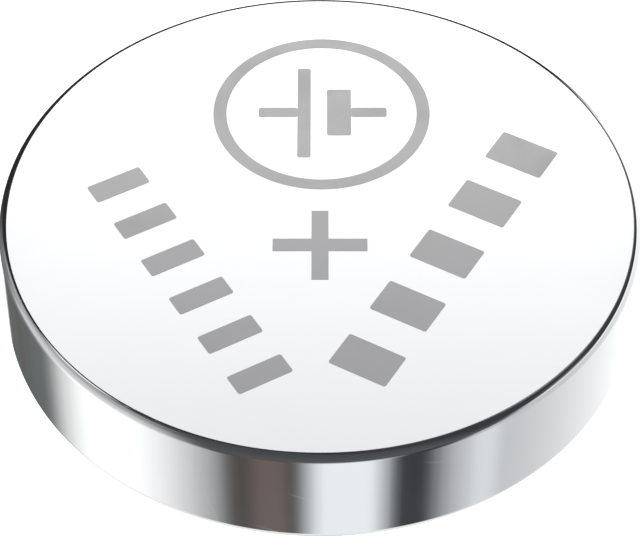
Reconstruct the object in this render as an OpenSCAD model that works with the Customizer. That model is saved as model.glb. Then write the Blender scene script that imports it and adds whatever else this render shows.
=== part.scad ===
// Lithium coin cell, 16 mm across and 3.2 mm high, positive face up.
// The origin is the middle of the negative contact face, and the cell stands on that face.
// Every round piece is a section in the half plane x = radius, y = height, turned about the axis.

/* [Cell] */
// Diameter over the can
cell_d = 16; // [12:0.1:24]
// Height from the negative to the positive contact face
cell_h = 3.2; // [2.9:0.05:5.4]

/* [Positive can] */
// Sheet thickness of the can
can_t = 0.2; // [0.15:0.01:0.25]
// Outer radius where the positive face turns into the wall
can_edge_r = 0.2; // [0.15:0.01:0.4]
// Outer radius where the wall turns into the crimped lip
crimp_r = 0.3; // [0.27:0.01:0.4]
// Height of the lowest point of the crimp above the negative contact face
crimp_rise = 0.1; // [0.05:0.01:0.2]
// Angle at which the crimped lip climbs towards the cap
lip_climb = 12; // [5:1:16]
// Width of the crimped lip, seen from below
lip_w = 1; // [0.8:0.05:1.1]

/* [Negative cap] */
// Sheet thickness of the cap
cap_t = 0.2; // [0.15:0.01:0.25]
// Distance from the outside of the can in to the edge of the negative face
cap_inset = 1.7; // [1.5:0.05:2.4]
// Outer radius of the bends of the cap
cap_bend_r = 0.3; // [0.27:0.01:0.34]
// Lean of the raised side of the cap, away from upright
cap_side_lean = 18; // [0:1:24]

/* [Sealing gasket] */
// Thickness of the gasket between the wall of the can and the skirt of the cap
gasket_wall_t = 0.34; // [0.25:0.01:0.4]
// Thickness of the gasket between the end of the skirt and the can
gasket_floor_t = 0.25; // [0.2:0.01:0.4]
// Thickness of the gasket between the end of the crimped lip and the shoulder of the cap
gasket_seal_t = 0.27; // [0.2:0.01:0.35]
// Thickness of the gasket rim inside the skirt
gasket_rim_t = 0.3; // [0.2:0.01:0.4]
// Height of the gasket rim inside the skirt
gasket_rim_h = 0.75; // [0.5:0.05:0.9]
// Width of the gasket that shows inside the crimped lip
gasket_show = 0.14; // [0.05:0.01:0.2]

/* [Lithium anode] */
// Height of the lithium disc above the shoulder inside the cap
anode_proud = 0.03; // [0.02:0.01:0.1]
// Clearance between the lithium disc and the raised side of the cap
anode_gap = 0.5; // [0.3:0.05:0.9]

/* [Separator] */
// Thickness of the separator cloth
separator_t = 0.15; // [0.08:0.01:0.18]
// Height of the turned-up rim of the separator, cloth included
separator_rim_h = 0.6; // [0.4:0.05:0.8]
// Inner radius of the turn in the separator
separator_turn_r = 0.1; // [0.05:0.01:0.15]
// Clearance between the separator and the gasket rim
separator_gap = 0.2; // [0.05:0.05:0.5]

/* [Cathode pellet] */
// Clearance between the pellet and the rim of the separator
pellet_gap = 0.3; // [0.1:0.05:0.6]
// Chamfer on both edges of the pellet
pellet_chamfer = 0.12; // [0.05:0.01:0.25]

/* [Collector grid] */
// Thickness of the expanded metal
grid_t = 0.12; // [0.08:0.01:0.15]
// Distance from the edge of the pellet to the edge of the grid
grid_inset = 0.6; // [0.2:0.05:1.2]
// Width of the plain border round the meshes
grid_border = 0.35; // [0.25:0.05:0.6]
// Long way of a mesh, from knot to knot
mesh_long = 1.7; // [1.6:0.05:2.4]
// Short way of a mesh, from knot to knot
mesh_short = 0.95; // [0.9:0.05:1.4]
// Width of a strand
strand_w = 0.14; // [0.1:0.01:0.2]

/* [Hidden] */
$fn = 96;
// Steps round each bend of a sheet
bend_steps = 10;
// Radius under which the inside of a bend is a plain corner
corner_r = 0.001;

// Radii, from the outside of the can inwards
can_r = cell_d / 2;
can_bore_r = can_r - can_t;
skirt_r = can_bore_r - gasket_wall_t;
skirt_bore_r = skirt_r - cap_t;
gasket_rim_r = skirt_bore_r - gasket_rim_t;
lip_end_r = can_r - lip_w;
gasket_show_r = lip_end_r - gasket_show;
separator_r = gasket_rim_r - separator_gap;
pellet_r = separator_r - separator_t - pellet_gap;
grid_r = pellet_r - grid_inset;
cap_face_r = can_r - cap_inset;
anode_r = cap_face_r - cap_t - anode_gap;

// Middle line of the can sheet, as corners from the axis to the end of the lip
can_wall_mid = can_r - can_t / 2;
crimp_mid_r = crimp_r - can_t / 2;
lip_corner_z = crimp_rise + crimp_r - crimp_mid_r * tan(45 + lip_climb / 2);
lip_end_mid_z = lip_corner_z + (can_wall_mid - lip_end_r) * tan(lip_climb);
can_line = [
    [0, cell_h - can_t / 2],
    [can_wall_mid, cell_h - can_t / 2],
    [can_wall_mid, lip_corner_z],
    [lip_end_r, lip_end_mid_z]
];
can_bends = [can_edge_r - can_t / 2, crimp_mid_r];

// Heights of the seal and of the stack inside
can_floor_z = cell_h - can_t;
skirt_end_z = can_floor_z - gasket_floor_t;
gasket_rim_z = can_floor_z - gasket_rim_h;
shoulder_z = lip_end_mid_z + can_t / 2 / cos(lip_climb) + gasket_seal_t;
anode_top_z = shoulder_z + cap_t + anode_proud;
pellet_z = anode_top_z + separator_t;
pellet_top_z = can_floor_z - grid_t;

// Middle line of the cap sheet, as corners from the axis to the end of the skirt
shoulder_mid_z = shoulder_z + cap_t / 2;
skirt_mid = skirt_r - cap_t / 2;
cap_side_run = (shoulder_mid_z - cap_t / 2) * tan(cap_side_lean);
cap_face_mid = cap_face_r - cap_t / 2;
cap_line = [
    [0, cap_t / 2],
    [cap_face_mid, cap_t / 2],
    [cap_face_mid + cap_side_run, shoulder_mid_z],
    [skirt_mid, shoulder_mid_z],
    [skirt_mid, skirt_end_z]
];
cap_bend_mid = cap_bend_r - cap_t / 2;
cap_bends = [cap_bend_mid, cap_bend_mid, cap_bend_mid];

// Direction, left-hand normal and turn of a bent line
function way(a, b) = (b - a) / norm(b - a);
function left_of(d) = [-d[1], d[0]];
function turn(d, e) = atan2(d[0] * e[1] - d[1] * e[0], d * e);
function heading(angle) = [cos(angle), sin(angle)];
function backwards(points) = [for (k = [len(points) - 1 : -1 : 0]) points[k]];

// Points round corner i of a line, offset to the left of it: an arc, or one point where the
// bend is tighter than the sheet is thick
function bend_points(line, bends, i, offset) =
    let (
        d = way(line[i - 1], line[i]),
        angle = turn(d, way(line[i], line[i + 1])),
        side = sign(angle),
        centre = line[i] - d * bends[i - 1] * tan(abs(angle) / 2) + left_of(d) * side * bends[i - 1],
        radius = bends[i - 1] - side * offset,
        out = -left_of(d) * side,
        start = atan2(out[1], out[0])
    )
    radius < corner_r
    ? [centre + radius / cos(angle / 2) * heading(start + angle / 2)]
    : [for (k = [0 : bend_steps]) centre + radius * heading(start + angle * k / bend_steps)];

// One whole side of the sheet, from the first point of the line to the last
function sheet_side(line, bends, offset) = [
    line[0] + left_of(way(line[0], line[1])) * offset,
    for (i = [1 : len(line) - 2]) each bend_points(line, bends, i, offset),
    line[len(line) - 1] + left_of(way(line[len(line) - 2], line[len(line) - 1])) * offset
];

// Section of a bent sheet of thickness t whose middle line runs through the corners of a line
module bent_sheet(line, bends, t) {
    polygon(concat(sheet_side(line, bends, t / 2), backwards(sheet_side(line, bends, -t / 2))));
}

module can_section() bent_sheet(can_line, can_bends, can_t);
module cap_section() bent_sheet(cap_line, cap_bends, cap_t);

// Everything the moulded ring fills once the crimp has pressed it home:
// the seal over the shoulder, the gap along the wall, the seat of the skirt and the rim inside it.
// The outline runs through the middle of both sheets, which are then taken out of it.
module gasket_section() {
    difference() {
        polygon([
            [gasket_show_r, lip_end_mid_z + gasket_show * tan(lip_climb)],
            [lip_end_r, lip_end_mid_z],
            each backwards(bend_points(can_line, can_bends, 2, 0)),
            [can_wall_mid, can_floor_z],
            [gasket_rim_r, can_floor_z],
            [gasket_rim_r, gasket_rim_z],
            [skirt_mid, gasket_rim_z],
            each backwards(bend_points(cap_line, cap_bends, 3, 0)),
            [gasket_show_r, shoulder_mid_z]
        ]);
        can_section();
        cap_section();
    }
}

// Shallow tray of cloth that covers the lithium and turns up round the pellet
module separator_section() {
    mid_r = separator_r - separator_t / 2;
    mid_z = anode_top_z + separator_t / 2;
    line = [[0, mid_z], [mid_r, mid_z], [mid_r, anode_top_z + separator_rim_h]];
    bent_sheet(line, [separator_turn_r + separator_t / 2], separator_t);
}

// Pressed disc with chamfered edges
module pellet_section() {
    polygon([
        [0, pellet_z],
        [pellet_r - pellet_chamfer, pellet_z],
        [pellet_r, pellet_z + pellet_chamfer],
        [pellet_r, pellet_top_z - pellet_chamfer],
        [pellet_r - pellet_chamfer, pellet_top_z],
        [0, pellet_top_z]
    ]);
}

// One opening of the expanded metal, a diamond between four strands
module mesh_opening(reach_long, reach_short) {
    polygon([[-reach_long, 0], [0, -reach_short], [reach_long, 0], [0, reach_short]]);
}

// Staggered openings that lie whole inside the border
module mesh_openings() {
    field_r = grid_r - grid_border;
    reach_long = mesh_long / 2 - strand_w;
    reach_short = mesh_short / 2 - strand_w;
    across = ceil(2 * field_r / mesh_long);
    along = ceil(2 * field_r / mesh_short);
    for (i = [-across : across], j = [-along : along]) {
        at = [i * mesh_long / 2, j * mesh_short / 2];
        if (abs(i + j) % 2 == 0 && norm([abs(at[0]) + reach_long, at[1]]) < field_r)
            translate(at) mesh_opening(reach_long, reach_short);
    }
}

module positive_can() color("silver") rotate_extrude() can_section();

module negative_cap() color("lightgray") rotate_extrude() cap_section();

module sealing_gasket() color("dimgray") rotate_extrude() gasket_section();

module lithium_anode() {
    color("lightsteelblue")
        translate([0, 0, cap_t])
            cylinder(r = anode_r, h = anode_top_z - cap_t);
}

module separator() color("white") rotate_extrude() separator_section();

module cathode_pellet() color("black") rotate_extrude() pellet_section();

module collector_grid() {
    color("gray")
        translate([0, 0, pellet_top_z])
            linear_extrude(grid_t)
                difference() {
                    circle(r = grid_r);
                    mesh_openings();
                }
}

positive_can();
negative_cap();
sealing_gasket();
lithium_anode();
separator();
cathode_pellet();
collector_grid();
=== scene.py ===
"""Looks of a lithium coin cell: steel can, cap, gasket, face marks, studio and camera.

Every length is in metres in the part's own frame: the cell stands on its negative face at the
origin and its positive face looks up along +Z.
"""

import logging
import math
from dataclasses import dataclass, field
from enum import Enum
from typing import Callable, Sequence

import bmesh
import bpy
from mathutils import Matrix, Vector


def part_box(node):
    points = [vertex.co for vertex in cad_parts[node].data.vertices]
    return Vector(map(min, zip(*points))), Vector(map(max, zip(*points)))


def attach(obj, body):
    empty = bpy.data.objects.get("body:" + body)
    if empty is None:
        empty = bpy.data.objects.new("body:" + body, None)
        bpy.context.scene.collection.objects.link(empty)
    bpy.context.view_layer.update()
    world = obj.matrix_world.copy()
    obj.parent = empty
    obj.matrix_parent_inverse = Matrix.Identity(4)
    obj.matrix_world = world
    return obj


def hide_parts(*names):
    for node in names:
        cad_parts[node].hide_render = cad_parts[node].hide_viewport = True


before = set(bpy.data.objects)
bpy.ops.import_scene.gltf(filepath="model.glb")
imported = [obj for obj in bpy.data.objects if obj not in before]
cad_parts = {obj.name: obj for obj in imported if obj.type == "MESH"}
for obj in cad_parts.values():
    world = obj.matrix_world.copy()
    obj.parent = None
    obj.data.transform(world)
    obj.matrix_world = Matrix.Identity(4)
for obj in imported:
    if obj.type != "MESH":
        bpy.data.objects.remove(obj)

LOG = logging.getLogger("coin_cell")
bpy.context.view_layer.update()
BODY = "root"
MM = 0.001
MICRON = 0.000001

# Steps round a turned piece, round the ring on the face, round a bend and round a bar's corner
TURNS = 384
RING_STEPS = 192
BEND_STEPS = 14
CORNER_STEPS = 6

# Radius under which a point of a section lies on the axis
AXIS_RADIUS = 1e-9
# Radius under which the inside of a bend is a plain corner
CORNER_RADIUS = 1e-6
# Share of a sheet's thickness within which a run still belongs to the flat face
FACE_SKIN = 0.1
# Part of a normal along a direction beyond which a run of the section faces that way
FACING = 0.3

HALF_TURN = 180.0
FULL_TURN = 360.0

# Colour sockets of a Mix node: its two inputs and its output
MIX_FIRST = 6
MIX_SECOND = 7
MIX_RESULT = 2
VALUE = "NodeSocketFloat"

Pair = tuple[float, float]
Triple = tuple[float, float, float]
Piece = bpy.types.Object
Socket = bpy.types.NodeSocket
Sockets = dict[str, Socket]


class Zone(Enum):
    """Zones of a turned piece that have a finish of their own."""

    FACE = "face"
    WALL = "wall"
    LIP = "lip"
    SIDE = "side"
    INSIDE = "inside"
    WHOLE = "whole"


class Slot(Enum):
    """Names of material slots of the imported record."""

    CAN = "can_steel"
    CAP = "cap_steel"
    GASKET = "gasket_plastic"


class Node(Enum):
    """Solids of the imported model."""

    CAN = "positive_can"
    CAP = "negative_cap"
    GASKET = "sealing_gasket"
    LITHIUM = "lithium_anode"
    SEPARATOR = "separator"
    PELLET = "cathode_pellet"
    GRID = "collector_grid"


# Flat geometry of a section


def add(a: Pair, b: Pair, share: float = 1.0) -> Pair:
    """Returns point a moved by a share of vector b."""
    return a[0] + share * b[0], a[1] + share * b[1]


def way(a: Pair, b: Pair) -> Pair:
    """Returns the unit direction from point a to point b."""
    length = math.dist(a, b)
    return (b[0] - a[0]) / length, (b[1] - a[1]) / length


def left_of(d: Pair) -> Pair:
    """Returns a vector turned a quarter to the left."""
    return -d[1], d[0]


def turn(d: Pair, e: Pair) -> float:
    """Returns the signed angle, in radians, from direction d to direction e."""
    return math.atan2(d[0] * e[1] - d[1] * e[0], d[0] * e[0] + d[1] * e[1])


def polar(angle: float, length: float = 1.0) -> Pair:
    """Returns the vector of a length that points at an angle in radians."""
    return length * math.cos(angle), length * math.sin(angle)


def circle_angles(steps: int) -> list[float]:
    """Returns the angles, in radians, of even steps round a circle."""
    return [2 * math.pi * k / steps for k in range(steps)]


@dataclass
class SectionPoint:
    """One point of a closed section, with the surface normals on both sides of it."""

    at: Pair
    before: Pair
    after: Pair

    def flipped(self) -> "SectionPoint":
        """Returns the point as it is met when the section is walked the other way."""
        return SectionPoint(self.at, self.after, self.before)


@dataclass
class BentSheet:
    """Sheet of even thickness whose middle line runs through corners joined by round bends."""

    line: list[Pair]
    bends: list[float]
    thickness: float

    def arc(self, i: int, side: int) -> list[SectionPoint]:
        """Works out the surface points round corner i.

        Args:
            i: Corner of the middle line, not its first or last.
            side: 1 for the surface on the left of the line, -1 for the one on its right.

        Returns:
            The points of the bend on that surface, in the order of the line.
        """
        d = way(self.line[i - 1], self.line[i])
        e = way(self.line[i], self.line[i + 1])
        angle = turn(d, e)
        hand = 1 if angle > 0 else -1
        middle = self.bends[i - 1]
        foot = add(self.line[i], d, -middle * math.tan(abs(angle) / 2))
        centre = add(foot, left_of(d), hand * middle)
        radius = middle - hand * side * self.thickness / 2
        start = math.atan2(-hand * left_of(d)[1], -hand * left_of(d)[0])
        if radius < CORNER_RADIUS:
            corner = add(centre, polar(start + angle / 2), radius / math.cos(angle / 2))
            return [SectionPoint(corner, self.normal(i - 1, side), self.normal(i, side))]
        points = []
        for k in range(BEND_STEPS + 1):
            spoke = polar(start + angle * k / BEND_STEPS)
            out = (-hand * side * spoke[0], -hand * side * spoke[1])
            points.append(SectionPoint(add(centre, spoke, radius), out, out))
        return points

    def normal(self, i: int, side: int) -> Pair:
        """Returns the outward normal of run i on one side of the sheet."""
        n = left_of(way(self.line[i], self.line[i + 1]))
        return side * n[0], side * n[1]

    def surface(self, side: int) -> list[SectionPoint]:
        """Works out one whole surface of the sheet.

        Args:
            side: 1 for the surface on the left of the line, -1 for the one on its right.

        Returns:
            Its points from the first to the last of the line.
        """
        last = len(self.line) - 2
        first, final = self.normal(0, side), self.normal(last, side)
        points = [SectionPoint(add(self.line[0], first, self.thickness / 2), first, first)]
        for i in range(1, len(self.line) - 1):
            points += self.arc(i, side)
        points.append(SectionPoint(add(self.line[-1], final, self.thickness / 2), final, final))
        return points

    def outline(self) -> list[SectionPoint]:
        """Returns the whole section: its left surface, its end and its right surface."""
        left, right = self.surface(1), self.surface(-1)
        end = way(self.line[-2], self.line[-1])
        left[-1].after = end
        right[-1].after = end
        return left + [point.flipped() for point in reversed(right)]


def sharp_section(points: Sequence[Pair]) -> list[SectionPoint]:
    """Makes a section of plain corners.

    Args:
        points: The corners, walked with the material on the right.

    Returns:
        The corners with the normals of the straight runs that meet there.
    """
    out = []
    count = len(points)
    for i, at in enumerate(points):
        before = left_of(way(points[(i - 1) % count], at))
        after = left_of(way(at, points[(i + 1) % count]))
        out.append(SectionPoint(at, before, after))
    return out


# Shader building


def opaque(colour: Triple) -> tuple[float, ...]:
    """Returns a colour with full alpha, as colour sockets take it."""
    return (*colour, 1.0)


@dataclass
class Net:
    """Places and joins shader nodes in one tree."""

    tree: bpy.types.NodeTree

    def node(self, kind: str, **settings: object) -> bpy.types.Node:
        """Adds a node.

        Args:
            kind: Blender's name of the node type.
            settings: Attributes of the node to set.

        Returns:
            The new node.
        """
        made = self.tree.nodes.new(kind)
        for key, value in settings.items():
            setattr(made, key, value)
        return made

    def feed(self, socket: Socket, source: object) -> None:
        """Links a source socket to a socket, or sets the socket to a plain value."""
        if isinstance(source, Socket):
            self.tree.links.new(source, socket)
        else:
            socket.default_value = source

    def math(self, operation: str, *values: object, clamp: bool = False) -> Socket:
        """Adds a Math node.

        Args:
            operation: The node's operation, such as MULTIPLY.
            values: Its inputs in order, as sockets or numbers.
            clamp: Whether the result is held between 0 and 1.

        Returns:
            The result socket.
        """
        made = self.node("ShaderNodeMath", operation=operation, use_clamp=clamp)
        for socket, value in zip(made.inputs, values):
            self.feed(socket, value)
        return made.outputs[0]

    def ramp(self, value: Socket, low: object, high: object, start: float = 0.0, end: float = 1.0) -> Socket:
        """Adds a smooth Map Range node.

        Args:
            value: The value to map.
            low: Value that gives the start.
            high: Value that gives the end.
            start: Result at and below low.
            end: Result at and above high.

        Returns:
            The result socket.
        """
        made = self.node("ShaderNodeMapRange", interpolation_type="SMOOTHSTEP")
        given = {"Value": value, "From Min": low, "From Max": high, "To Min": start, "To Max": end}
        for label, source in given.items():
            self.feed(made.inputs[label], source)
        return made.outputs[0]

    def mix(self, factor: object, first: object, second: object) -> Socket:
        """Adds a colour Mix node.

        Args:
            factor: Share of the second colour.
            first: First colour.
            second: Second colour.

        Returns:
            The mixed colour socket.
        """
        made = self.node("ShaderNodeMix", data_type="RGBA", clamp_factor=False)
        self.feed(made.inputs["Factor"], factor)
        self.feed(made.inputs[MIX_FIRST], first)
        self.feed(made.inputs[MIX_SECOND], second)
        return made.outputs[MIX_RESULT]

    def blend(self, factor: object, first: Socket, second: Socket) -> Socket:
        """Adds a Mix Shader node.

        Args:
            factor: Share of the second shader.
            first: First shader.
            second: Second shader.

        Returns:
            The shader socket.
        """
        made = self.node("ShaderNodeMixShader")
        for socket, source in zip(made.inputs, (factor, first, second)):
            self.feed(socket, source)
        return made.outputs[0]

    def millimetres(self, stretch: Triple = (1.0, 1.0, 1.0)) -> Socket:
        """Returns the place on the piece in millimetres, stretched along each axis."""
        place = self.node("ShaderNodeTexCoord")
        scaled = self.node("ShaderNodeVectorMath", operation="MULTIPLY")
        self.feed(scaled.inputs[0], place.outputs["Object"])
        self.feed(scaled.inputs[1], tuple(s / MM for s in stretch))
        return scaled.outputs[0]

    def noise(self, place: Socket, scale: object, detail: float = 4.0, roughness: float = 0.55) -> Socket:
        """Adds a Noise texture.

        Args:
            place: Where it is read.
            scale: Features per millimetre.
            detail: Octaves of finer noise.
            roughness: Weight of the finer octaves.

        Returns:
            Its value socket, about 0 to 1.
        """
        made = self.node("ShaderNodeTexNoise", normalize=True)
        given = {"Vector": place, "Scale": scale, "Detail": detail, "Roughness": roughness}
        for label, source in given.items():
            self.feed(made.inputs[label], source)
        return made.outputs[0]


@dataclass
class Effect:
    """Shader node group of plain values, built once and placed where it is needed."""

    name: str
    inputs: dict[str, float]
    outputs: tuple[str, ...]
    build: Callable[[Net, Sockets], Sockets]
    tree: bpy.types.NodeTree | None = None

    def group(self) -> bpy.types.NodeTree:
        """Returns the group's tree, and builds it the first time."""
        if self.tree is None:
            tree = bpy.data.node_groups.new(self.name, "ShaderNodeTree")
            for label, value in self.inputs.items():
                socket = tree.interface.new_socket(label, in_out="INPUT", socket_type=VALUE)
                socket.default_value = value
            for label in self.outputs:
                tree.interface.new_socket(label, in_out="OUTPUT", socket_type=VALUE)
            net = Net(tree)
            way_in = net.node("NodeGroupInput")
            way_out = net.node("NodeGroupOutput")
            made = self.build(net, {label: way_in.outputs[label] for label in self.inputs})
            for label, socket in made.items():
                net.feed(way_out.inputs[label], socket)
            self.tree = tree
        return self.tree

    def place(self, net: Net, **values: object) -> Sockets:
        """Places the group in a material.

        Args:
            net: The material's net.
            values: Inputs by name, with underscores for spaces.

        Returns:
            The group's output sockets by name.
        """
        made = net.node("ShaderNodeGroup", node_tree=self.group())
        for label, value in values.items():
            net.feed(made.inputs[label.replace("_", " ")], value)
        return {label: made.outputs[label] for label in self.outputs}


def build_grain(
    net: Net,
    given: Sockets,
    run: float = 0.04,
    coarse: float = 0.22,
    shade_low: float = 0.3,
    shade_high: float = 0.7,
) -> Sockets:
    """Builds long fine grain lines along X, as a rolled and brushed sheet has.

    Args:
        net: Net of the group.
        given: Input sockets Lines per mm and Coarse share.
        run: Change along X, as a share of the change across.
        coarse: Coarse lines to each fine line.
        shade_low: Height that has no shade.
        shade_high: Height that has full shade.

    Returns:
        Height and Shade sockets.
    """
    place = net.millimetres((run, 1.0, 1.0))
    lines, share = given["Lines per mm"], given["Coarse share"]
    fine = net.noise(place, lines, detail=3.0, roughness=0.7)
    broad = net.noise(place, net.math("MULTIPLY", lines, coarse), detail=2.0)
    fine_part = net.math("MULTIPLY", fine, net.math("SUBTRACT", 1.0, share))
    height = net.math("ADD", fine_part, net.math("MULTIPLY", broad, share))
    return {"Height": height, "Shade": net.ramp(height, shade_low, shade_high)}


def build_scratches(
    net: Net,
    given: Sockets,
    families: Sequence[Pair] = ((0.9, 3.1), (2.3, 11.7), (-0.6, 23.9)),
    tilt: Triple = (1.0, 0.7, 1.3),
    step: Triple = (1.0, 0.5, 1.5),
    wander: float = 0.35,
    patches: float = 0.45,
    patch_low: float = 0.56,
    patch_high: float = 0.66,
) -> Sockets:
    """Builds sparse hairline scratches that lean across the surface.

    Args:
        net: Net of the group.
        given: Input sockets Spacing and Width, both in mm.
        families: Lean in radians and shift in mm of each family of scratches that run alike.
        tilt: Turn about each axis for each radian of lean.
        step: Shift along each axis for each mm of shift.
        wander: Bends in a scratch per mm.
        patches: Patches with scratches per mm.
        patch_low: Noise at which a patch begins.
        patch_high: Noise at which its scratches show in full.

    Returns:
        Mask socket, 1 on a scratch.
    """
    mask: Socket | None = None
    for lean, shift in families:
        mapping = net.node("ShaderNodeMapping", vector_type="POINT")
        net.feed(mapping.inputs["Vector"], net.millimetres())
        net.feed(mapping.inputs["Rotation"], tuple(lean * share for share in tilt))
        net.feed(mapping.inputs["Location"], tuple(shift * share for share in step))
        place = mapping.outputs[0]
        bent = net.noise(place, wander, detail=1.0)
        split = net.node("ShaderNodeSeparateXYZ")
        net.feed(split.inputs[0], place)
        across = net.math("ADD", split.outputs["X"], bent)
        cell = net.math("FRACT", net.math("DIVIDE", across, given["Spacing"]))
        offset = net.math("ABSOLUTE", net.math("SUBTRACT", cell, 0.5))
        distance = net.math("MULTIPLY", offset, given["Spacing"])
        line = net.ramp(distance, 0.0, given["Width"], 1.0, 0.0)
        gate = net.ramp(net.noise(place, patches, detail=1.0), patch_low, patch_high)
        family = net.math("MULTIPLY", line, gate)
        mask = family if mask is None else net.math("MAXIMUM", mask, family)
    return {"Mask": mask}


def build_smudge(net: Net, given: Sockets, low: float = 0.35, high: float = 0.7) -> Sockets:
    """Builds the broad cloudy haze that handling leaves.

    Args:
        net: Net of the group.
        given: Input socket Clouds per mm.
        low: Noise at which the haze begins.
        high: Noise at which it is full.

    Returns:
        Mask socket, 0 to 1.
    """
    cloud = net.noise(net.millimetres(), given["Clouds per mm"], detail=5.0, roughness=0.6)
    return {"Mask": net.ramp(cloud, low, high)}


def build_grit(net: Net, given: Sockets, coarse: float = 0.12) -> Sockets:
    """Builds the fine even tooth of a printed, moulded or pressed surface.

    Args:
        net: Net of the group.
        given: Input socket Grains per mm.
        coarse: Broad patches to each grain.

    Returns:
        Height and Shade sockets.
    """
    place = net.millimetres()
    grains = given["Grains per mm"]
    fine = net.noise(place, grains, detail=3.0, roughness=0.65)
    broad = net.noise(place, net.math("MULTIPLY", grains, coarse), detail=3.0)
    return {"Height": fine, "Shade": net.math("MULTIPLY", net.math("ADD", fine, broad), 0.5)}


def build_streaks(
    net: Net, given: Sockets, run: float = 0.03, coarse: float = 0.25, swell: float = 2.5
) -> Sockets:
    """Builds the upright lines that a die leaves down a drawn wall.

    Args:
        net: Net of the group.
        given: Input socket Lines per mm round the wall.
        run: Change down the wall, as a share of the change round it.
        coarse: Broad waves to each fine line.
        swell: Height of the broad waves, with that of the fine lines as 1.

    Returns:
        Height socket.
    """
    place = net.millimetres((1.0, 1.0, run))
    lines = given["Lines per mm"]
    broad = net.noise(place, net.math("MULTIPLY", lines, coarse), detail=1.0)
    fine = net.noise(place, lines, detail=2.0)
    return {"Height": net.math("MULTIPLY_ADD", broad, swell, fine)}


STREAKS = Effect("drawn_streaks", {"Lines per mm": 3.0}, ("Height",), build_streaks)
GRAIN = Effect("rolled_grain", {"Lines per mm": 14.0, "Coarse share": 0.4}, ("Height", "Shade"), build_grain)
SCRATCHES = Effect("hairline_scratches", {"Spacing": 2.6, "Width": 0.012}, ("Mask",), build_scratches)
SMUDGE = Effect("handling_haze", {"Clouds per mm": 0.35}, ("Mask",), build_smudge)
GRIT = Effect("fine_tooth", {"Grains per mm": 20.0}, ("Height", "Shade"), build_grit)


@dataclass
class Finish:
    """Material under construction: its net and its Principled shader."""

    name: str
    material: bpy.types.Material = field(init=False)
    net: Net = field(init=False)
    shader: bpy.types.Node = field(init=False)

    def __post_init__(self) -> None:
        """Makes the empty material."""
        self.material = bpy.data.materials.new(self.name)
        self.material.use_nodes = True
        self.net = Net(self.material.node_tree)
        self.shader = self.material.node_tree.nodes["Principled BSDF"]

    def set(self, **values: object) -> None:
        """Sets or links the shader's sockets, named with underscores for spaces."""
        for label, value in values.items():
            self.net.feed(self.shader.inputs[label.replace("_", " ")], value)

    def bump(self, height: Socket, depth: float) -> None:
        """Adds relief of a height map, with its full depth in metres."""
        relief = self.net.node("ShaderNodeBump")
        self.net.feed(relief.inputs["Height"], height)
        self.net.feed(relief.inputs["Distance"], depth)
        self.net.feed(self.shader.inputs["Normal"], relief.outputs[0])

    def overlay(self, factor: object, second: Socket) -> None:
        """Mixes a second shader over the Principled one by a factor, as the material's surface."""
        both = self.net.blend(factor, self.shader.outputs[0], second)
        self.net.feed(self.material.node_tree.nodes["Material Output"].inputs["Surface"], both)

    def scatter(self, share: float, colour: object) -> None:
        """Lets a share of the light, if any, scatter evenly, as satin metal does."""
        if share == 0:
            return
        soft = self.net.node("ShaderNodeBsdfDiffuse")
        self.net.feed(soft.inputs["Color"], colour)
        self.overlay(share, soft.outputs[0])


@dataclass(frozen=True)
class Steel:
    """Bright sheet steel: grain from rolling or drawing, hairline scratches and a little haze."""

    name: str
    tint: Triple = (0.93, 0.935, 0.94)
    shade: Triple = (0.92, 0.925, 0.93)
    roughness: float = 0.1
    haze: float = 0.03
    lines: float = 14.0
    drawn: bool = False
    depth: float = 0.06 * MICRON
    satin: float = 0.0
    scratch_spacing: float = 2.6
    scratch_width: float = 0.012
    scratch_dulling: float = 0.06

    def material(self) -> bpy.types.Material:
        """Returns a new material of this finish."""
        made = Finish(self.name)
        net = made.net
        grain = GRAIN.place(net, Lines_per_mm=self.lines)
        haze = SMUDGE.place(net)["Mask"]
        rough = net.math("MULTIPLY_ADD", haze, self.haze, self.roughness)
        if self.scratch_dulling > 0:
            scratch = SCRATCHES.place(net, Spacing=self.scratch_spacing, Width=self.scratch_width)["Mask"]
            rough = net.math("MULTIPLY_ADD", scratch, self.scratch_dulling, rough, clamp=True)
        colour = net.mix(grain["Shade"], opaque(self.tint), opaque(self.shade))
        made.set(Base_Color=colour, Metallic=1.0, Roughness=rough)
        height = STREAKS.place(net, Lines_per_mm=self.lines)["Height"] if self.drawn else grain["Height"]
        made.bump(height, self.depth)
        made.scatter(self.satin, colour)
        return made.material


@dataclass(frozen=True)
class Toothed:
    """Surface with a fine even tooth: marks, plastic, lithium, cloth, pressed powder and grid."""

    name: str
    light: Triple
    dark: Triple
    metallic: float = 0.0
    roughness: float = 0.6
    haze: float = 0.1
    grains: float = 20.0
    depth: float = 5 * MICRON
    satin: float = 0.0

    def material(self) -> bpy.types.Material:
        """Returns a new material of this finish."""
        made = Finish(self.name)
        net = made.net
        tooth = GRIT.place(net, Grains_per_mm=self.grains)
        haze = SMUDGE.place(net)["Mask"]
        colour = net.mix(tooth["Shade"], opaque(self.dark), opaque(self.light))
        rough = net.math("ADD", self.roughness - self.haze / 2, net.math("MULTIPLY", haze, self.haze))
        made.set(Base_Color=colour, Metallic=self.metallic, Roughness=rough)
        made.bump(tooth["Height"], self.depth)
        made.scatter(self.satin, colour)
        return made.material


# Making pieces


def placed(name: str, data: bpy.types.ID) -> Piece:
    """Links a mesh, lamp or camera to the scene as an object at the origin and returns it."""
    piece = bpy.data.objects.new(name, data)
    bpy.context.scene.collection.objects.link(piece)
    return piece


def joined(piece: Piece, node: Node | None = None) -> Piece:
    """Fixes a piece to the cell.

    Args:
        piece: The new piece.
        node: Solid that it stands for, if any.

    Returns:
        The piece.
    """
    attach(piece, BODY)
    if node is not None:
        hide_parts(node.value)
    LOG.info("%s: %d faces", piece.name, len(piece.data.polygons))
    return piece


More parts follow.
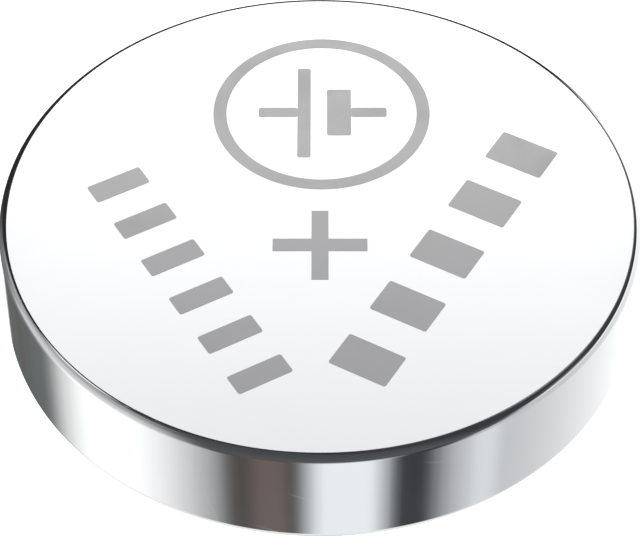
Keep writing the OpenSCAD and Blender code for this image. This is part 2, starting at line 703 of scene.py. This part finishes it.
def turned_piece(
    name: str,
    section: list[SectionPoint],
    zone_of: Callable[[Pair, Pair], Zone],
    finishes: dict[Zone, Steel | Toothed],
) -> Piece:
    """Turns a section about the axis into a closed mesh with true surface normals.

    Args:
        name: Name of the new piece.
        section: Section in the half plane, walked with the material on the right; where it starts
            and ends on the axis it stays open there.
        zone_of: Gives the finish zone from the middle and the normal of a run of the section.
        finishes: Finish of each zone, in the order of the mesh's materials.

    Returns:
        The new piece, linked to the scene.
    """
    angles = circle_angles(TURNS)
    zones = list(finishes)
    bm = bmesh.new()
    rings: list[list[bmesh.types.BMVert]] = []
    for point in section:
        radius, height = point.at
        places = [(0.0, 0.0)] if radius < AXIS_RADIUS else [polar(angle, radius) for angle in angles]
        rings.append([bm.verts.new((x, y, height)) for x, y in places])
    runs = len(section) - 1 if len(rings[0]) == 1 else len(section)
    normals: list[Triple] = []
    for i in range(runs):
        a, b = section[i], section[(i + 1) % len(section)]
        ring_a, ring_b = rings[i], rings[(i + 1) % len(section)]
        middle = ((a.at[0] + b.at[0]) / 2, (a.at[1] + b.at[1]) / 2)
        slot = zones.index(zone_of(middle, a.after))
        for k in range(TURNS):
            n = (k + 1) % TURNS
            corners = [(ring_a, k, a.after), (ring_b, k, b.before)]
            if len(ring_b) > 1:
                corners.append((ring_b, n, b.before))
            if len(ring_a) > 1:
                corners.append((ring_a, n, a.after))
            face = bm.faces.new([ring[at % len(ring)] for ring, at, _ in corners])
            face.material_index = slot
            face.smooth = True
            normals += [(*polar(angles[at], normal[0]), normal[1]) for _, at, normal in corners]
    mesh = bpy.data.meshes.new(name)
    bm.to_mesh(mesh)
    bm.free()
    mesh.normals_split_custom_set(normals)
    for finish in finishes.values():
        mesh.materials.append(finish.material())
    return placed(name, mesh)


# Sub-assemblies of the cell


@dataclass
class Can:
    """Drawn steel can: flat face, rounded edge, upright wall and crimped lip in one sheet."""

    thickness: float = 0.2 * MM
    edge_radius: float = 0.2 * MM
    crimp_radius: float = 0.3 * MM
    lip_climb: float = math.radians(12)
    lip_width: float = 1.0 * MM
    face: Steel = Steel(
        "can_face_steel", roughness=0.08, lines=16.0, depth=0.012 * MICRON, satin=0.5, scratch_dulling=0.0
    )
    wall: Steel = Steel(
        "can_wall_steel", roughness=0.07, haze=0.02, lines=2.0, drawn=True, depth=1.5 * MICRON,
        scratch_spacing=1.5, scratch_width=0.018, scratch_dulling=0.14,
    )
    lip: Steel = Steel("can_lip_steel", roughness=0.16, satin=0.3)
    inside: Steel = Steel("can_inside_steel", roughness=0.3)
    radius: float = field(init=False)
    top: float = field(init=False)
    crimp_bottom: float = field(init=False)
    lip_end: float = field(init=False)
    lip_end_mid: float = field(init=False)
    sheet: BentSheet = field(init=False)

    def __post_init__(self) -> None:
        """Takes the outer size from the frame and lays out the middle line of the sheet."""
        low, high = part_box(Node.CAN.value)
        self.radius = max(high[0], high[1])
        self.top = high[2]
        self.crimp_bottom = low[2]
        self.lip_end = self.radius - self.lip_width
        face_mid = self.top - self.thickness / 2
        wall_mid = self.radius - self.thickness / 2
        crimp_mid = self.crimp_radius - self.thickness / 2
        half_bend = math.pi / 4 + self.lip_climb / 2
        corner = self.crimp_bottom + self.crimp_radius - crimp_mid * math.tan(half_bend)
        self.lip_end_mid = corner + (wall_mid - self.lip_end) * math.tan(self.lip_climb)
        line = [(0.0, face_mid), (wall_mid, face_mid), (wall_mid, corner), (self.lip_end, self.lip_end_mid)]
        self.sheet = BentSheet(line, [self.edge_radius - self.thickness / 2, crimp_mid], self.thickness)

    def zone(self, at: Pair, normal: Pair) -> Zone:
        """Returns the finish zone of a run of the section from its middle and its normal."""
        within_flat = at[0] < self.radius - self.edge_radius
        if within_flat and at[1] > self.top - self.thickness * FACE_SKIN:
            return Zone.FACE
        if normal[0] < -FACING or (within_flat and at[1] > self.top / 2):
            return Zone.INSIDE
        in_crimp = at[1] < self.crimp_bottom + self.crimp_radius / 2
        return Zone.LIP if in_crimp or within_flat else Zone.WALL

    def build(self) -> Piece:
        """Returns the can as a mesh that stands for its solid."""
        finishes = {
            Zone.FACE: self.face,
            Zone.WALL: self.wall,
            Zone.LIP: self.lip,
            Zone.INSIDE: self.inside,
        }
        piece = turned_piece("steel_can", self.sheet.outline(), self.zone, finishes)
        return joined(piece, Node.CAN)


@dataclass
class Cap:
    """Stepped steel cap: negative face, leaning side, shoulder and skirt in one sheet."""

    can: Can
    thickness: float = 0.2 * MM
    inset: float = 1.7 * MM
    bend_radius: float = 0.3 * MM
    side_lean: float = math.radians(18)
    seal: float = 0.27 * MM
    face: Steel = Steel("cap_face_steel", roughness=0.2, lines=11.0, depth=0.2 * MICRON, satin=0.3)
    side: Steel = Steel("cap_side_steel", roughness=0.16, satin=0.3)
    inside: Steel = Steel("cap_inside_steel", roughness=0.3)
    skirt: float = field(init=False)
    skirt_end: float = field(init=False)
    shoulder: float = field(init=False)
    sheet: BentSheet = field(init=False)

    def __post_init__(self) -> None:
        """Takes the skirt from the frame and lays out the middle line of the sheet."""
        _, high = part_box(Node.CAP.value)
        self.skirt = max(high[0], high[1])
        self.skirt_end = high[2]
        can = self.can
        self.shoulder = can.lip_end_mid + can.thickness / 2 / math.cos(can.lip_climb) + self.seal
        shoulder_mid = self.shoulder + self.thickness / 2
        skirt_mid = self.skirt - self.thickness / 2
        face_mid = can.radius - self.inset - self.thickness / 2
        side_run = (shoulder_mid - self.thickness / 2) * math.tan(self.side_lean)
        line = [
            (0.0, self.thickness / 2),
            (face_mid, self.thickness / 2),
            (face_mid + side_run, shoulder_mid),
            (skirt_mid, shoulder_mid),
            (skirt_mid, self.skirt_end),
        ]
        bend_mid = self.bend_radius - self.thickness / 2
        self.sheet = BentSheet(line, [bend_mid] * 3, self.thickness)

    def zone(self, at: Pair, normal: Pair) -> Zone:
        """Returns the finish zone of a run of the section from its middle and its normal."""
        if at[1] < self.thickness * FACE_SKIN:
            return Zone.FACE
        outward = normal[0] > FACING or normal[1] < -FACING
        return Zone.SIDE if outward else Zone.INSIDE

    def build(self) -> Piece:
        """Returns the cap as a mesh that stands for its solid."""
        finishes = {Zone.FACE: self.face, Zone.SIDE: self.side, Zone.INSIDE: self.inside}
        piece = turned_piece("steel_cap", self.sheet.outline(), self.zone, finishes)
        return joined(piece, Node.CAP)


@dataclass
class Gasket:
    """Moulded ring that fills the gap between can and cap from the shoulder to the skirt's end."""

    cap: Cap
    show: float = 0.14 * MM
    rim_thickness: float = 0.3 * MM
    rim_height: float = 0.75 * MM
    finish: Toothed = Toothed(
        "gasket_plastic", (0.2, 0.2, 0.21), (0.12, 0.12, 0.13), roughness=0.45, grains=24.0,
        depth=3 * MICRON,
    )

    def section(self) -> list[SectionPoint]:
        """Returns the ring's section, worked out from the two sheets that grip it."""
        cap, can = self.cap, self.cap.can
        show_r = can.lip_end - self.show
        show_z = can.lip_end_mid + self.show * math.tan(can.lip_climb)
        bore = cap.skirt - cap.thickness
        rim = bore - self.rim_thickness
        floor = can.top - can.thickness
        rim_end = floor - self.rim_height
        can_side = [point.at for point in reversed(can.sheet.surface(-1)) if point.at[0] > rim]
        cap_side = [point.at for point in reversed(cap.sheet.surface(-1)) if point.at[0] > show_r]
        outline = [(show_r, show_z), (can.lip_end, can.lip_end_mid), *can_side]
        outline += [(rim, floor), (rim, rim_end), (bore, rim_end), (bore, cap.skirt_end)]
        outline += [*cap_side, (show_r, cap.shoulder)]
        return sharp_section(outline[::-1])

    def build(self) -> Piece:
        """Returns the gasket as a mesh that stands for its solid."""
        finishes = {Zone.WHOLE: self.finish}
        piece = turned_piece("seal_ring", self.section(), lambda at, normal: Zone.WHOLE, finishes)
        return joined(piece, Node.GASKET)


@dataclass(frozen=True)
class BarRow:
    """Row of upright bars on the positive face, along the line between two middles."""

    name: str
    start: Pair
    end: Pair
    count: int
    width: float
    height: float


@dataclass
class Marks:
    """Flat grey marks on the positive face, all of them plain shapes."""

    face: float
    film: float = 0.006 * MM
    sunk: float = 0.002 * MM
    finish: Toothed = Toothed(
        "face_mark_grey", (0.394, 0.394, 0.399), (0.374, 0.374, 0.379), metallic=1.0, roughness=0.17,
        grains=26.0, depth=0.02 * MICRON, satin=0.4,
    )
    bar_corner: float = 0.06 * MM
    ring_centre: Pair = (0.04 * MM, 3.51 * MM)
    ring_outer: float = 2.79 * MM
    ring_inner: float = 2.45 * MM
    plate_gap: float = 0.9 * MM
    thin_plate: Pair = (0.34 * MM, 3.3 * MM)
    thick_plate: Pair = (0.62 * MM, 1.7 * MM)
    lead_width: float = 0.34 * MM
    thin_plate_lead: float = 1.0 * MM
    thick_plate_lead: float = 0.92 * MM
    plus_centre: Pair = (0.0, -1.21 * MM)
    plus_span: float = 2.34 * MM
    plus_width: float = 0.42 * MM
    rows: tuple[BarRow, ...] = (
        BarRow("mark_left_row", (-5.07 * MM, 0.88 * MM), (-1.42 * MM, -5.42 * MM), 6, 0.62 * MM, 1.47 * MM),
        BarRow("mark_right_row", (1.12 * MM, -4.98 * MM), (5.12 * MM, 1.95 * MM), 5, 1.05 * MM, 1.55 * MM),
    )
    material: bpy.types.Material = field(init=False)

    def __post_init__(self) -> None:
        """Makes the material that all the marks share."""
        self.material = self.finish.material()

    def rims(self, bm: bmesh.types.BMesh, outline: list[Pair]) -> list[list[bmesh.types.BMVert]]:
        """Returns new vertices along an outline, at the foot and at the top of a mark."""
        heights = (self.face - self.sunk, self.face + self.film)
        return [[bm.verts.new((x, y, z)) for x, y in outline] for z in heights]

    def plate(self, name: str, outlines: list[list[Pair]], hole: list[Pair] | None = None) -> Piece:
        """Makes flat marks of even thickness on the face.

        Args:
            name: Name of the piece.
            outlines: Closed outlines in the plane of the face, anticlockwise.
            hole: For a ring, its inner outline, with as many points as the outer one.

        Returns:
            The piece.
        """
        bm = bmesh.new()
        for outline in outlines:
            bottom, top = self.rims(bm, outline)
            steps = [(k, (k + 1) % len(outline)) for k in range(len(outline))]
            for k, n in steps:
                bm.faces.new((bottom[k], bottom[n], top[n], top[k]))
            if hole is None:
                bm.faces.new(top)
                bm.faces.new(bottom[::-1])
                continue
            inner_bottom, inner_top = self.rims(bm, hole)
            for k, n in steps:
                bm.faces.new((inner_bottom[n], inner_bottom[k], inner_top[k], inner_top[n]))
                bm.faces.new((top[k], top[n], inner_top[n], inner_top[k]))
                bm.faces.new((bottom[n], bottom[k], inner_bottom[k], inner_bottom[n]))
        mesh = bpy.data.meshes.new(name)
        bm.to_mesh(mesh)
        bm.free()
        mesh.materials.append(self.material)
        return joined(placed(name, mesh))

    def bar(self, centre: Pair, width: float, height: float, lean: float = 0.0) -> list[Pair]:
        """Works out a bar with small round corners.

        Args:
            centre: Middle of the bar.
            width: Size across.
            height: Size upright, before it leans.
            lean: Angle in radians that the whole bar is turned by.

        Returns:
            Its outline, anticlockwise.
        """
        points = []
        for index, (sx, sy) in enumerate(((1, 1), (-1, 1), (-1, -1), (1, -1))):
            corner = (sx * (width / 2 - self.bar_corner), sy * (height / 2 - self.bar_corner))
            for k in range(CORNER_STEPS + 1):
                x, y = add(corner, polar(math.pi / 2 * (index + k / CORNER_STEPS), self.bar_corner))
                points.append(add(add(centre, polar(lean, x)), left_of(polar(lean, y))))
        return points

    def ring(self) -> Piece:
        """Returns the plain ring near the far edge of the face."""
        outer, inner = (
            [add(self.ring_centre, polar(angle, radius)) for angle in circle_angles(RING_STEPS)]
            for radius in (self.ring_outer, self.ring_inner)
        )
        return self.plate("mark_ring", [outer], inner)

    def cell_symbol(self) -> Piece:
        """Returns the drawing sign of a cell: a long thin plate, a short thick one and two leads."""
        thin = (-1, self.thin_plate, self.thin_plate_lead)
        thick = (1, self.thick_plate, self.thick_plate_lead)
        plates, leads = [], []
        for hand, plate, lead in (thin, thick):
            plate_at = self.plate_gap / 2
            lead_at = plate_at + plate[0] / 2 + lead / 2
            plates.append(self.bar(add(self.ring_centre, (hand * plate_at, 0.0)), *plate))
            leads.append(self.bar(add(self.ring_centre, (hand * lead_at, 0.0)), lead, self.lead_width))
        return self.plate("mark_cell_symbol", plates + leads)

    def plus(self) -> Piece:
        """Returns the plus sign in the middle of the face."""
        a, b = self.plus_width / 2, self.plus_span / 2
        arm = [(b, -a), (b, a), (a, a)]
        outline = []
        for _ in range(4):
            outline += [add(self.plus_centre, corner) for corner in arm]
            arm = [left_of(corner) for corner in arm]
        return self.plate("mark_plus", [outline])

    def bar_row(self, row: BarRow) -> Piece:
        """Returns a row of upright bars."""
        along = way(row.start, row.end)
        lean = math.atan2(along[1], along[0])
        step = math.dist(row.start, row.end) / (row.count - 1)
        middles = [add(row.start, along, step * k) for k in range(row.count)]
        return self.plate(row.name, [self.bar(middle, row.width, row.height, lean) for middle in middles])

    def build(self) -> list[Piece]:
        """Returns all the marks of the face."""
        return [self.ring(), self.cell_symbol(), self.plus(), *(self.bar_row(row) for row in self.rows)]


@dataclass
class Stack:
    """Inner pieces, kept as their solids and given their own finishes."""

    lithium: Toothed = Toothed(
        "lithium_metal", (0.62, 0.63, 0.65), (0.5, 0.51, 0.53), metallic=0.9, roughness=0.42, grains=9.0
    )
    cloth: Toothed = Toothed(
        "separator_fibre", (0.9, 0.9, 0.87), (0.74, 0.74, 0.7), roughness=0.85, grains=12.0,
        depth=20 * MICRON,
    )
    powder: Toothed = Toothed(
        "pressed_powder", (0.07, 0.07, 0.075), (0.02, 0.02, 0.022), roughness=0.8, grains=16.0,
        depth=20 * MICRON,
    )
    grid: Toothed = Toothed(
        "expanded_grid", (0.6, 0.6, 0.61), (0.45, 0.45, 0.46), metallic=1.0, roughness=0.38, grains=14.0
    )

    def build(self) -> None:
        """Gives each inner solid its material."""
        finishes = {
            Node.LITHIUM: self.lithium,
            Node.SEPARATOR: self.cloth,
            Node.PELLET: self.powder,
            Node.GRID: self.grid,
        }
        for node, finish in finishes.items():
            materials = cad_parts[node.value].data.materials
            materials.clear()
            materials.append(finish.material())
            LOG.info("%s: %s", node.value, finish.name)


# Studio

# Edges of a card that reaches straight down, straight up or all the way round
NADIR: Pair = (-120.0, 1.0)
ZENITH: Pair = (120.0, 1.0)
ROUND: tuple[Pair, Pair] = ((-181.0, 1.0), (181.0, 1.0))


@dataclass(frozen=True)
class Card:
    """Soft-edged reflector or flag in the studio, given by directions from the cell in degrees.

    Azimuth 0 is the camera's side and 90 is the camera's right. Elevation is above the floor.
    Each edge is its middle and its softness. The card leans by so many degrees of azimuth for
    each degree of elevation.
    """

    name: str
    left: Pair
    right: Pair
    low: Pair
    high: Pair
    colour: Triple
    lean: float = 0.0

    @staticmethod
    def edge(net: Net, value: Socket, edge: Pair, start: float = 0.0) -> Socket:
        """Returns a soft step across an edge, from 0 to 1 or, with a start of 1, from 1 to 0."""
        return net.ramp(value, edge[0] - edge[1] / 2, edge[0] + edge[1] / 2, start, 1.0 - start)

    def mask(self, net: Net, front: Socket, rear: Socket, up: Socket) -> Socket:
        """Builds the card's soft mask from the direction that a ray leaves in.

        Args:
            net: Net of the world.
            front: Azimuth from -180 to 180 degrees.
            rear: The same azimuth from 0 to 360 degrees.
            up: Elevation in degrees.

        Returns:
            Mask socket, 1 within the card.
        """
        if self.low == NADIR:
            mask = self.edge(net, up, self.high, 1.0)
        elif self.high == ZENITH:
            mask = self.edge(net, up, self.low)
        else:
            mask = net.math("SUBTRACT", self.edge(net, up, self.low), self.edge(net, up, self.high))
        if (self.left, self.right) == ROUND:
            return mask
        around, shift = front, 0.0
        if self.left[0] < -HALF_TURN or self.right[0] > HALF_TURN:
            around, shift = rear, FULL_TURN if self.left[0] < 0 else 0.0
        if self.lean:
            around = net.math("MULTIPLY_ADD", up, -self.lean, around)
        left = self.edge(net, around, add(self.left, (shift, 0.0)))
        right = self.edge(net, around, add(self.right, (shift, 0.0)))
        return net.math("MULTIPLY", mask, net.math("SUBTRACT", left, right))


# Each card covers those before it
STUDIO_CARDS = (
    Card("front_lift", (-70, 60), (70, 60), NADIR, (25, 110), (0.09, 0.095, 0.097)),
    Card("right_dark", (46, 30), (186, 6), (20, 30), ZENITH, (0.04, 0.043, 0.046)),
    Card("left_rear_dark", (-190, 6), (-128, 16), (-60, 20), (72, 20), (0.022, 0.023, 0.024)),
    Card("left_sheet_top", (-110, 20), (-48.5, 26), NADIR, (61, 12), (0.33, 0.335, 0.34), -0.25),
    Card("left_sheet_side", (-120, 9), (-62, 28), NADIR, (47, 40), (0.46, 0.465, 0.47), -0.38),
    Card("left_sheet_middle", (-111, 26), (-47.5, 29), NADIR, (28, 50), (0.65, 0.66, 0.67)),
    Card("left_sheet_foot", (-118, 20), (-61, 38), NADIR, (-15, 40), (1.16, 1.16, 1.16)),
    Card("left_foot_shade", (-130, 10), (-94, 24), (-41, 8), (-8, 24), (0.23, 0.235, 0.235)),
    Card("left_kicker", (-145, 8), (-121, 14), (52.5, 3), (62, 3), (0.98, 0.98, 0.98)),
    Card("right_kicker", (144, 4), (152, 4), (54, 3), (64, 3), (0.4, 0.4, 0.41)),
    Card("right_sheet", (57, 16), (189, 6), NADIR, (26, 8), (0.56, 0.575, 0.585), 0.35),
    Card("right_sheet_foot", (51, 12), (100, 20), NADIR, (-9, 14), (0.56, 0.575, 0.585), 0.23),
    Card("right_sheet_white", (115, 110), (190, 6), NADIR, (26, 8), (1.16, 1.16, 1.16)),
    Card("right_sheet_head", (70, 16), (170, 20), (19, 5), (26.5, 5), (1.1, 1.1, 1.1)),
    Card("right_grey_patch", (80, 10), (98, 12), (26, 10), (41, 10), (0.22, 0.22, 0.23)),
    Card("rear_flag", (156, 10), (204, 10), (-36, 5), (36, 5), (0.03, 0.031, 0.033)),
    Card("right_rear_spill", (160, 20), (176, 4), (38, 8), (62, 10), (0.26, 0.26, 0.26)),
    Card("rear_soft_box", (169.5, 2.5), (190.8, 3), (37, 6), (55.5, 6), (0.755, 0.765, 0.79)),
    Card("rear_soft_box_foot", (169.5, 2.5), (190.8, 3), (36, 7), (48, 7), (1.28, 1.28, 1.28)),
    Card("rear_soft_box_heel", (169.5, 2.5), (190.8, 3), (36, 7), (44.2, 1.5), (1.85, 1.85, 1.85)),
    Card("left_rear_shade", (-165, 10), (-109, 40), NADIR, (-22, 18), (0.138, 0.152, 0.15)),
    Card("left_rear_flag", (-186, 6), (-131, 8), NADIR, (-22, 18), (0.125, 0.138, 0.135)),
    Card("left_rear_line", (-146, 5), (-139, 5), NADIR, (-30, 10), (0.128, 0.122, 0.115)),
    Card("left_rear_strip", (-186, 6), (-161, 5), NADIR, (-30, 12), (0.98, 1.0, 1.0)),
    Card("left_rear_strut", (-130, 16), (-112, 16), (-40, 20), (25, 20), (0.19, 0.195, 0.2)),
    Card("brown_flag", (-34.5, 12), (-5, 11), NADIR, (-25, 24), (0.079, 0.07, 0.067)),
    Card("brown_glow", (-25, 10), (-12, 8), NADIR, (-34, 16), (0.15, 0.117, 0.108)),
    Card("right_flag", (14, 4), (46, 20), NADIR, (-22, 20), (0.038, 0.041, 0.045)),
    Card("front_card", (-4.2, 14.5), (24.2, 14), NADIR, (-33, 30), (0.86, 0.9, 0.925)),
    Card("right_glint", (58, 10), (69, 8), (-60, 1), (-44, 8), (0.72, 0.75, 0.76)),
    Card("sweep_below", *ROUND, NADIR, (-56, 7), (0.86, 0.87, 0.87)),
    Card("sweep_under", *ROUND, NADIR, (-86, 4), (0.35, 0.36, 0.36)),
)


@dataclass
class Studio:
    """White sweep, soft overhead light for the floor and the cards that the steel reflects."""

    cards: tuple[Card, ...] = STUDIO_CARDS
    dark_room: Triple = (0.062, 0.067, 0.07)
    fill: Triple = (0.25, 0.25, 0.25)
    backdrop: Triple = (1.0, 1.0, 1.0)
    floor_reach: float = 0.5
    floor_drop: float = 0.02 * MM
    floor_tone: Triple = (0.9, 0.9, 0.9)
    floor_shade: float = 0.99
    floor_clouds: float = 0.02
    floor_roughness: float = 0.9
    floor_glow: float = 0.95
    lamp_height: float = 0.12
    lamp_size: float = 0.16
    lamp_watts: float = 0.144

    def world(self) -> None:
        """Builds the surroundings: white to the camera, cards to bright metal, a soft fill to the rest."""
        world = bpy.data.worlds.new("studio")
        bpy.context.scene.world = world
        world.use_nodes = True
        world.node_tree.nodes.clear()
        net = Net(world.node_tree)
        place = net.node("ShaderNodeTexCoord")
        split = net.node("ShaderNodeSeparateXYZ")
        net.feed(split.inputs[0], place.outputs["Generated"])
        x, y, z = split.outputs
        front = net.math("DEGREES", net.math("ARCTAN2", x, net.math("MULTIPLY", y, -1.0)))
        rear = net.math("WRAP", front, FULL_TURN, 0.0)
        up = net.math("DEGREES", net.math("ARCSINE", z))
        colour: object = opaque(self.dark_room)
        for card in self.cards:
            colour = net.mix(card.mask(net, front, rear, up), colour, opaque(card.colour))
        rays = net.node("ShaderNodeLightPath")
        shader = self.background(net, opaque(self.fill))
        for ray, shown in (("Is Glossy Ray", colour), ("Is Camera Ray", opaque(self.backdrop))):
            shader = net.blend(rays.outputs[ray], shader, self.background(net, shown))
        out = net.node("ShaderNodeOutputWorld")
        net.feed(out.inputs["Surface"], shader)

    @staticmethod
    def background(net: Net, colour: object) -> Socket:
        """Returns the shader socket of a plain background of a colour."""
        made = net.node("ShaderNodeBackground")
        net.feed(made.inputs["Color"], colour)
        return made.outputs[0]

    def floor(self) -> Piece:
        """Returns the white floor: one triangle, which can be seen through from below."""
        angles = [math.radians(degrees) for degrees in (30, 150, 270)]
        corners = [(*polar(angle, self.floor_reach), -self.floor_drop) for angle in angles]
        mesh = bpy.data.meshes.new("floor")
        mesh.from_pydata(corners, [], [(0, 1, 2)])
        piece = placed("floor", mesh)
        finish = Finish("floor_white")
        net = finish.net
        cloud = net.noise(net.millimetres(), self.floor_clouds, detail=2.0)
        shade = tuple(self.floor_shade * tone for tone in self.floor_tone)
        tone = net.mix(cloud, opaque(self.floor_tone), opaque(shade))
        finish.set(Base_Color=tone, Roughness=self.floor_roughness, Specular_IOR_Level=0.0)
        finish.set(Emission_Color=tone, Emission_Strength=self.floor_glow)
        side = net.node("ShaderNodeNewGeometry")
        clear = net.node("ShaderNodeBsdfTransparent")
        finish.overlay(side.outputs["Backfacing"], clear.outputs[0])
        mesh.materials.append(finish.material)
        piece.visible_glossy = False
        return piece

    def lamp(self) -> None:
        """Adds the soft overhead lamp, which lights the floor and matt surfaces only."""
        data = bpy.data.lights.new("overhead", "AREA")
        data.shape = "DISK"
        data.size = self.lamp_size
        data.energy = self.lamp_watts
        lamp = placed("overhead", data)
        lamp.location = (0.0, 0.0, self.lamp_height)
        lamp.visible_glossy = False
        lamp.visible_camera = False

    def build(self) -> None:
        """Sets up surroundings, floor and lamp, and plain display of the picture's values."""
        self.world()
        self.floor()
        self.lamp()
        view = bpy.context.scene.view_settings
        view.view_transform = "Standard"
        view.look = "None"


@dataclass
class PhotoCamera:
    """Camera at the photograph's viewing angle."""

    lens: float = 156.98
    sensor: float = 36.0
    distance: float = 70.4 * MM
    elevation: float = math.radians(46.93)
    target: Triple = (0.0, -0.526 * MM, 1.6 * MM)
    near: float = 1.0 * MM

    def build(self) -> None:
        """Places the camera and makes it the scene's own."""
        data = bpy.data.cameras.new("camera")
        data.lens = self.lens
        data.sensor_width = self.sensor
        data.sensor_fit = "HORIZONTAL"
        data.clip_start = self.near
        camera = placed("camera", data)
        back = Vector((0.0, -math.cos(self.elevation), math.sin(self.elevation)))
        camera.location = Vector(self.target) + back * self.distance
        camera.rotation_euler = back.to_track_quat("Z", "Y").to_euler()
        bpy.context.scene.camera = camera


def main() -> None:
    """Builds the cell, the studio and the camera in order."""
    logging.basicConfig(level=logging.INFO, format="%(name)s: %(message)s")
    can = Can()
    can.build()
    cap = Cap(can)
    cap.build()
    Gasket(cap).build()
    Marks(can.top).build()
    Stack().build()
    Studio().build()
    PhotoCamera().build()


if __name__ == "__main__":
    main()
